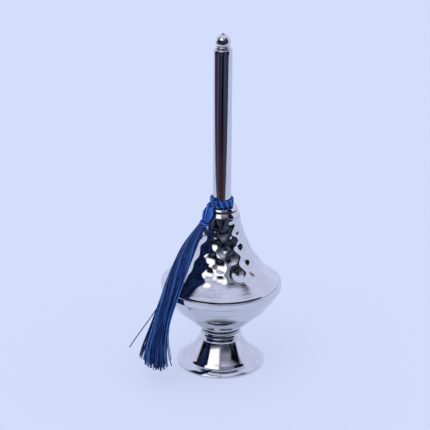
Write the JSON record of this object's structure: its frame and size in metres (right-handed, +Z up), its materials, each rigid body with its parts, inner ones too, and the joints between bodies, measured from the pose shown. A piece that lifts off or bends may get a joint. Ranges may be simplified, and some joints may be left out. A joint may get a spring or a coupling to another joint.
{
  "type": "rosewater sprinkler",
  "caption": "Footed rosewater sprinkler with a hammered cone shoulder, long unscrewing neck, ball spout and hanging silk tassel.",
  "frame": {"origin": "middle of the foot's underside, on the surface that it stands on", "axes": "+Z up along the neck; -Y towards the viewer of the picture; the tassel hangs at the front left, between -X and -Y"},
  "size_m": [0.0958, 0.0844, 0.2401],
  "materials": {
    "plate": "bright nickel or silver plate on spun brass",
    "solder": "soft solder",
    "leather": "oiled leather washer",
    "silk": "twisted silk thread"
  },
  "bodies": {
    "vessel": {"foot": "plate", "stem_ring": "plate", "bowl": "plate", "seam_solder": "solder", "shoulder": "plate", "mouth_collar": "plate"},
    "washer": {"neck_washer": "leather"},
    "neck": {"neck_ferrule": "plate", "neck_tube": "plate", "neck_cap": "plate", "sprinkler_ball": "plate", "spray_nib": "plate"},
    "loop": {"loop_cord": "silk"},
    "tassel": {"tassel_head": "silk", "tassel_binding": "silk", "tassel_skirt": "silk"}
  },
  "joints": [
    {"name": "neck_lift", "type": "slide", "parent": "vessel", "child": "washer", "axis": [0, 0, 1], "range_m": [0, 0.0075]},
    {"name": "neck_turn", "type": "hinge", "parent": "washer", "child": "neck", "pos_m": [0, 0, 0.1165], "axis": [0, 0, 1], "range_deg": [0, 1800]},
    {"name": "loop_turn", "type": "hinge", "parent": "neck", "child": "loop", "pos_m": [0, 0, 0.1215], "axis": [0, 0, 1], "continuous": true},
    {"name": "tassel_swing", "type": "hinge", "parent": "loop", "child": "tassel", "pos_m": [-0.00818, -0.0101, 0.1222], "axis": [-0.53, 0.848, 0], "range_deg": [0, 75]}
  ],
  "couplings": [
    {"joint": "neck_turn", "follows": "neck_lift", "rad_per_m": 4188.8}
  ]
}
